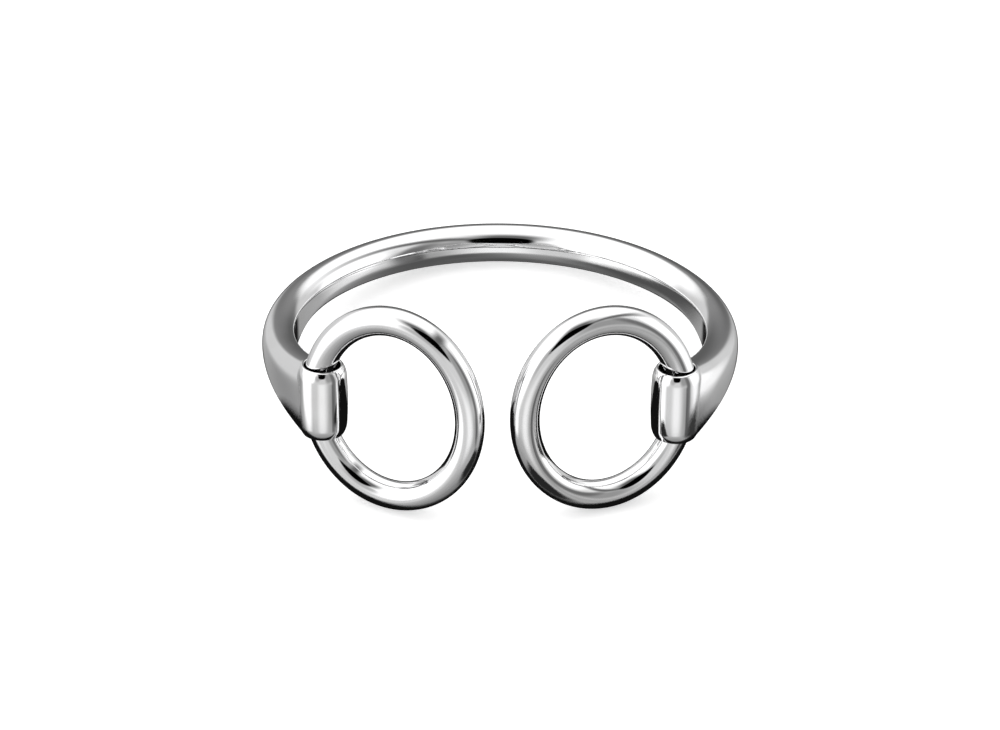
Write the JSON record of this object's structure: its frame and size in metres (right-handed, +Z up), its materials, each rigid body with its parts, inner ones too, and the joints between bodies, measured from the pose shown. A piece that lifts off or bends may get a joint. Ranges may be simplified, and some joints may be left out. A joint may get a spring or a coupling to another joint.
{
  "type": "cuff bracelet with captive rings",
  "caption": "Open metal cuff in the form of a loose-ring snaffle bit: a D-section band, a bulged barrel at each end, and a closed oval ring swinging in each barrel.",
  "frame": {"origin": "centre of the footprint, on the surface the cuff rests on", "axes": "+X from the left barrel to the right barrel, +Y from the rings towards the middle of the band's back, +Z up; the band slopes 12.5 degrees down from the barrels to its back"},
  "size_m": [0.0664, 0.061, 0.0298],
  "materials": {
    "polished_silver": "mirror polished silver with fine wear"
  },
  "bodies": {
    "cuff": {"band": "polished_silver", "left_barrel": "polished_silver", "right_barrel": "polished_silver"},
    "left_ring": {"left_ring": "polished_silver"},
    "right_ring": {"right_ring": "polished_silver"}
  },
  "joints": [
    {"name": "left_ring_swing", "type": "hinge", "parent": "cuff", "child": "left_ring", "pos_m": [-0.02387, -0.0204, 0.01355], "axis": [0, 0.2164, 0.9763], "range_deg": [-213, 113]},
    {"name": "right_ring_swing", "type": "hinge", "parent": "cuff", "child": "right_ring", "pos_m": [0.02387, -0.0204, 0.01355], "axis": [0, 0.2164, 0.9763], "range_deg": [-109.5, 216.5]}
  ]
}
